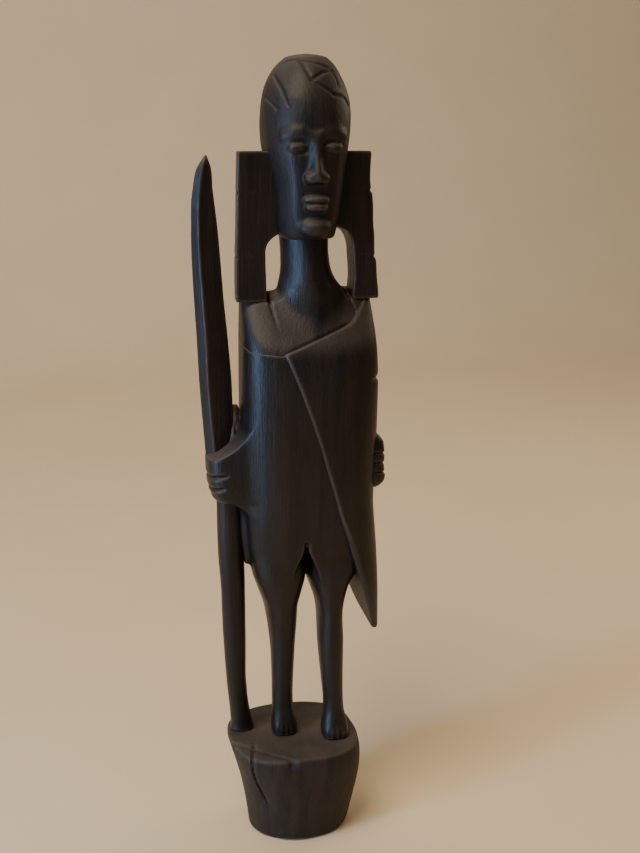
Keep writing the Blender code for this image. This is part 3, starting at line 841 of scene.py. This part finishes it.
# Lines cut in the hair, front and back alike: x and height of their points
HAIR = [
    [(-9.4, 296.0), (-8.4, 292.4), (-7.3, 288.6), (-5.7, 283.0)],
    [(-0.6, 298.4), (1.0, 295.0), (2.6, 291.5), (6.6, 289.2), (10.6, 286.6)],
    [(0.1, 298.3), (4.8, 297.4), (9.5, 296.0)],
    [(11.3, 295.0), (12.4, 292.4), (13.1, 290.0)],
    [(-11.6, 286.0), (-10.3, 283.8), (-9.0, 281.7)],
    [(2.6, 291.5), (7.0, 294.0), (11.3, 295.0)],
    [(-9.4, 296.0), (-4.8, 297.8), (-0.6, 298.9)],
    [(10.6, 286.6), (14.8, 286.2), (17.6, 283.0)],
]
for line in HAIR:
    line = points("head", [(x, 0.0, z) for x, z in line])
    for front in (True, False):
        head = score(head, head_grid, [on_head(x, z, front) for x, _, z in line], 0.6, 0.95)
head = head + knife_marks(head_grid, 0.15, seed=9)
carve("head", head_grid, head, DRY_WOOD, keep=0.5)

# ---------------------------------------------------------------- ear slabs

# Height, outer x at the front, inner x
SLABS = {
    "right": levels("right_ear_slab", [
        (212.0, -23.5, -11.8), (222.0, -23.5, -12.1), (230.0, -23.4, -12.3), (233.0, -23.3, -12.2),
        (235.0, -23.2, -11.4), (237.0, -23.1, -9.4), (239.0, -23.0, -6.0), (254.0, -22.6, -6.0),
        (268.0, -22.2, -6.0)]),
    "left": levels("left_ear_slab", [
        (212.0, 30.8, 20.4), (216.0, 30.8, 20.6), (222.0, 30.2, 21.2), (228.3, 29.7, 20.9),
        (229.6, 29.4, 20.8), (235.0, 29.1, 20.2), (237.0, 29.0, 19.4), (239.0, 28.8, 17.8),
        (241.0, 28.6, 13.0), (252.6, 27.9, 12.0), (254.0, 27.6, 12.0), (268.0, 27.5, 12.0)]),
}
INNER_LIMIT = {"right": -5.0, "left": 10.0}   # x that each slab's grid reaches inward, past its lug
SLAB_LEAN = 0.13          # how far the outer face leans in for each millimetre further back
# Nicks in the outer edge: how far below the slab's top, how deep
NICKS = {"right": ((14.6, 0.25), (37.6, 0.55)), "left": ((14.0, 0.75), (38.0, 0.9))}
MARGIN = 2                # a grid reaches this far past what it samples
slab_front, slab_back = [corner[1] for corner in corners("right_ear_slab")]
for side, outward in (("right", -1), ("left", 1)):
    low, high = corners(side + "_ear_slab")
    grid = Grid((min(low[0], INNER_LIMIT[side]) - MARGIN, slab_front - MARGIN, low[2] - MARGIN),
                (max(high[0], INNER_LIMIT[side]) + MARGIN, slab_back + MARGIN, high[2] + MARGIN), 0.44)
    outer_x, inner_x = read_rows(SLABS[side], grid.heights())
    slab = outward * (grid.x - outer_x) + SLAB_LEAN * (grid.y - slab_front)
    slab = meet(slab, -outward * (grid.x - inner_x) + 0 * slab, 0.6)
    slab = meet(slab, meet(slab_front - grid.y, grid.y - slab_back, 0.5) + 0 * slab, 0.7)
    slab = meet(slab, meet(grid.z - high[2], low[2] - grid.z, 0.5) + 0 * slab, 0.6)
    for drop, depth in NICKS[side]:
        nick_z = high[2] - drop
        rim = float(np.interp(nick_z, [row[0] for row in SLABS[side]], [row[1] for row in SLABS[side]]))
        across_front = [(rim - outward * 6.0, slab_front, nick_z + 0.3), (rim, slab_front, nick_z)]
        slab = score(slab, grid, across_front, 0.4, 0.35)
        down_edge = [(rim, slab_front - 0.3, nick_z), (rim - outward, slab_back, nick_z + 0.4)]
        slab = score(slab, grid, down_edge, 0.6, depth)
    slab = slab + knife_marks(grid, 0.14, seed=21)
    carve(side + "_ear_slab", grid, slab, DARK_WOOD, keep=0.35)

# ---------------------------------------------------------------- left hand

LEFT_FIST = rows("left_fist", [
    (141.2, 28.0, -4.6, 2.4, 3.4, 2.4), (143.0, 28.6, -4.8, 3.6, 4.6, 2.7),
    (150.0, 28.8, -5.0, 3.9, 5.2, 2.9), (157.0, 28.8, -5.0, 3.9, 5.2, 2.8),
    (160.5, 28.5, -4.8, 3.5, 4.8, 2.6), (163.4, 27.6, -4.4, 2.0, 3.2, 2.4),
])
left_grid = Grid((22, -13, 138), (36, 4, 166), 0.34)
fist = loft(left_grid, LEFT_FIST, 1.2)
THUMB_SIDE, = points("left_fist", [(32.2, -4.0, 160.6)])
fist = meet(fist, plane(left_grid, THUMB_SIDE, (0.66, -0.10, 0.74)), 0.8)
for hand_x, _, level in points("left_fist", [(28.8, 0.0, z) for z in (147.6, 151.4, 155.2)]):
    away = left_grid.z - level + 0.1 * (left_grid.x - hand_x)
    fist = groove(fist, away, 0.6, 0.8, np.clip((left_grid.x - hand_x + 2.5) / 2.0, 0, 1))
fist = fist + knife_marks(left_grid, 0.1, seed=33)
carve("left_fist", left_grid, fist, DARK_WOOD, keep=0.6)

# ---------------------------------------------------------------- spear

SHAFT = rows("spear_shaft", [
    (39.7, -21.7, 7.6, 5.0, 4.8, 2.3), (42.0, -21.8, 7.5, 4.5, 4.4, 2.2), (46.5, -22.4, 7.1, 4.1, 4.2, 2.1),
    (60.0, -23.9, 5.8, 3.9, 4.0, 2.1), (79.6, -24.7, 4.3, 4.4, 4.2, 2.1), (96.8, -25.1, 3.5, 4.7, 4.4, 2.1),
    (104.0, -25.3, 3.2, 4.8, 4.5, 2.2), (116.5, -25.9, 2.6, 4.95, 4.7, 2.2),
    (140.0, -26.2, 2.0, 5.0, 4.9, 2.2),
])
shaft_grid = Grid((-33, -5, 38), (-15, 14, 142), 0.45)
shaft = loft(shaft_grid, SHAFT, 0.6) + knife_marks(shaft_grid, 0.18, seed=41)
carve("spear_shaft", shaft_grid, shaft, DARK_WOOD, keep=0.4)

# Height, left edge x, right edge x, ridge x, half thickness
BLADE = levels("spear_blade", [
    (150.0, -34.6, -24.4, -31.6, 3.8), (158.0, -35.2, -24.4, -32.2, 3.8), (170.0, -36.0, -24.4, -33.2, 3.9),
    (185.0, -36.9, -24.8, -34.1, 4.0), (200.0, -37.4, -25.9, -34.4, 3.9), (216.0, -38.1, -27.3, -35.3, 3.7),
    (239.0, -38.6, -28.7, -36.2, 3.2), (254.0, -37.7, -30.2, -35.4, 2.4), (262.4, -35.6, -30.9, -33.8, 1.5),
    (266.3, -32.8, -32.2, -32.5, 0.5),
])
blade_grid = Grid((-41, -4, 148), (-22, 8, 269), 0.42)
left_x, right_x, ridge_x, half = read_rows(BLADE, blade_grid.heights())
blade_y = sum(corner[1] for corner in corners("spear_blade")) / 2
off_middle = np.abs(blade_grid.y - blade_y)


def facet(ax, ay, bx, by):
    """Signed distance to the flat from a to b in plan, outside on its left, mirrored front to back."""
    nx, ny = -(by - ay), bx - ax
    size = np.sqrt(nx * nx + ny * ny)
    return ((blade_grid.x - ax) * nx + (off_middle - ay) * ny) / size


RIGHT_EDGE_SHARE = 0.45   # the blunt edge's thickness against the ridge's
narrow = facet(left_x, 0.0, ridge_x, half)
broad = facet(ridge_x, half, right_x, half * RIGHT_EDGE_SHARE)
blade = meet(meet(narrow, broad, 0.35), blade_grid.x - right_x + 0 * narrow, 0.5)
blade = meet(blade, blade_grid.z - BLADE[-1][0] + 0 * blade, 0.4)
blade = meet(blade, BLADE[0][0] - blade_grid.z + 0 * blade, 0.4)
blade = blade + knife_marks(blade_grid, 0.13, seed=43)
scratch = points("spear_blade", [
    (-27.0, -1.2, 196.0), (-27.9, -1.6, 186.0), (-29.6, -1.8, 174.0), (-31.2, -1.8, 162.0)])
blade = score(blade, blade_grid, scratch, 0.45, 0.35)
carve("spear_blade", blade_grid, blade, DARK_WOOD, keep=0.4)

# Uncut wood left between the blade and the robe
BRIDGE = rows("blade_bridge", [
    (156.0, -23.6, 1.8, 3.4, 3.6, 2.4), (164.0, -23.5, 2.0, 2.8, 2.4, 2.4),
    (171.0, -23.5, 2.2, 2.2, 1.8, 2.2), (175.0, -23.7, 2.2, 1.4, 1.3, 2.0),
])
bridge_grid = Grid((-28, -4, 155), (-19, 8, 186), 0.34)
bridge = loft(bridge_grid, BRIDGE)
for depth, cell, seed in ((0.45, (1.2, 1.6, 5.0), 51), (0.2, (0.9, 0.9, 1.6), 52)):
    bridge = bridge + depth * wobble(bridge_grid, cell, seed)
carve("blade_bridge", bridge_grid, bridge, ROUGH_WOOD)

# ---------------------------------------------------------------- base

BASE = rows("base_block", [
    (0.0, -0.5, 0.0, 20.0, 17.2, 2.0), (12.0, 0.0, 0.0, 21.9, 20.4, 2.2),
    (26.0, -0.6, 0.0, 24.2, 24.0, 2.5), (36.0, -2.1, 0.0, 25.6, 25.4, 2.7),
    (40.0, -2.8, 0.0, 25.8, 25.2, 2.7),
])
TOP_WEAR = 0.3            # depth of the flats worn into the top
base_grid = Grid((-31, -28, -2), (26, 28, 43), 0.62)
base = loft(base_grid, BASE, 2.0)
base = base + knife_marks(base_grid, 0.5, seed=61) * (base_grid.z > 1.0)
top = corners("base_block")[1][2]
dish = TOP_WEAR * wobble(base_grid, (9, 9, 9), 64, faceted=True)
base = meet(base, base_grid.z - top + TOP_WEAR + dish, 0.8)
(bx, by, bz), = points("base_block", [(0.8, 0.0, 0.0)])
above = base_grid.z - bz
# The drying crack down the front wanders in x as it climbs, and faces a little to the left
CRACK_HEIGHTS, CRACK_X = (16.0, 21.0, 28.0, 34.0, 44.0), (-12.0, -13.9, -16.8, -17.9, -18.4)
crack_at = np.interp(above, CRACK_HEIGHTS, CRACK_X).astype(REAL)
away = 0.966 * (base_grid.x - bx) - 0.259 * (base_grid.y - by) - crack_at
front = np.clip((by - 6.0 - base_grid.y) / 3.0, 0, 1)
base = groove(base, away, 0.6, 1.3, front * np.clip((above - 15.0) / 5.0, 0, 1))
# A chip lifted off the rim at the front left leaves a line round where it broke
chip = plane(base_grid, (bx - 17.4, by - 16.3, bz + 38.0), (-0.70, -0.70, 0.12))
base = groove(base, chip, 0.9, 1.0, np.clip((above - 35.5) / 2.0, 0, 1))
base = np.maximum(base, -base_grid.z + 0 * base)
carve("base_block", base_grid, base, BASE_WOOD, keep=0.45)


# ---------------------------------------------------------------- stage, light and camera

def stage_material():
    """Pale matte ground with faint mottling."""
    material = bpy.data.materials.new("pale_ground")
    material.use_nodes = True
    tree = material.node_tree
    shader = tree.nodes["Principled BSDF"]
    where = tree.nodes.new("ShaderNodeTexCoord")
    mottle = tree.nodes.new("ShaderNodeTexNoise")
    mottle.inputs["Scale"].default_value = 9.0
    mottle.inputs["Detail"].default_value = 3.0
    tree.links.new(where.outputs["Object"], mottle.inputs["Vector"])
    tint = tree.nodes.new("ShaderNodeValToRGB")
    tint.color_ramp.elements[0].color = (0.71, 0.56, 0.355, 1.0)
    tint.color_ramp.elements[1].color = (0.775, 0.625, 0.41, 1.0)
    tree.links.new(mottle.outputs["Fac"], tint.inputs["Fac"])
    tree.links.new(tint.outputs["Color"], shader.inputs["Base Color"])
    shader.inputs["Roughness"].default_value = 0.75
    return material


ROOM_HALF_WIDTH, FLOOR_FRONT, WALL_Y, WALL_TOP, COVE = 3.0, -2.2, 1.35, 2.6, 0.45
profile = [(FLOOR_FRONT, 0.0)]
profile += [(WALL_Y - COVE + COVE * math.sin(a), COVE - COVE * math.cos(a))
            for a in [math.pi / 2 * i / 14 for i in range(15)]]
profile += [(WALL_Y, WALL_TOP)]
ground_mesh = bpy.data.meshes.new("ground")
ground_mesh.from_pydata(
    [(x, y, z) for y, z in profile for x in (-ROOM_HALF_WIDTH, ROOM_HALF_WIDTH)], [],
    [(2 * i, 2 * i + 1, 2 * i + 3, 2 * i + 2) for i in range(len(profile) - 1)])
for face in ground_mesh.polygons:
    face.use_smooth = True
ground = bpy.data.objects.new("ground", ground_mesh)
ground_mesh.materials.append(stage_material())
bpy.context.scene.collection.objects.link(ground)
ground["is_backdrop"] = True

low, high = [Vector(corner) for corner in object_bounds()]
tall = high.z - low.z
heart = Vector((0.0, 0.0, low.z + tall / 2))


def soft_light(name, offset, width, height, watts, colour, towards=heart):
    """Soft box at an offset from the figure's middle, in figure heights, facing it or another point."""
    lamp = bpy.data.lights.new(name, "AREA")
    lamp.shape = "RECTANGLE"
    lamp.size = width * tall
    lamp.size_y = height * tall
    lamp.energy = watts
    lamp.color = colour
    holder = bpy.data.objects.new(name, lamp)
    holder.location = heart + Vector(offset) * tall
    holder.rotation_euler = (towards - holder.location).to_track_quat("-Z", "Y").to_euler()
    bpy.context.scene.collection.objects.link(holder)
    holder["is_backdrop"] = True


soft_light("window_left", (-2.7, -1.15, 0.15), 0.45, 1.8, 10.0, (0.27, 0.55, 1.0))
soft_light("room_overhead", (-1.2, -1.2, 2.5), 1.5, 1.5, 8.2, (1.0, 0.82, 0.60))
soft_light("warm_right", (2.2, 0.9, 1.2), 1.2, 1.2, 1.3, (1.0, 0.78, 0.56))
soft_light("backdrop_wash", (-0.4, 2.0, 4.2), 6.0, 1.6, 9.0, (1.0, 0.93, 0.82), Vector((-0.1, WALL_Y, 0.35)))

world = bpy.data.worlds.new("room")
world.use_nodes = True
world.node_tree.nodes["Background"].inputs["Color"].default_value = (0.84, 0.72, 0.56, 1.0)
world.node_tree.nodes["Background"].inputs["Strength"].default_value = 0.17
bpy.context.scene.world = world

camera_data = bpy.data.cameras.new("camera")
camera_data.lens = 50.0
camera_data.sensor_width = 36.0
camera_data.clip_start = 0.01
camera = bpy.data.objects.new("camera", camera_data)
# Turned round and raised by these angles, away from a point up the axis and a little to the side, in metres
AZIMUTH, ELEVATION = math.radians(-15.0), math.radians(13.3)
AWAY, AIM_HEIGHT, AIM_SIDE = 0.451, 0.1653, 0.0080
AXIS_X = 0.0008
right = Vector((math.cos(AZIMUTH), math.sin(AZIMUTH), 0.0))
level = math.cos(ELEVATION)
back = Vector((math.sin(AZIMUTH) * level, -math.cos(AZIMUTH) * level, math.sin(ELEVATION)))
aim = Vector((AXIS_X, 0.0, AIM_HEIGHT)) + right * AIM_SIDE
camera.location = aim + back * AWAY
camera.rotation_euler = back.to_track_quat("Z", "Y").to_euler()
bpy.context.scene.collection.objects.link(camera)
bpy.context.scene.camera = camera
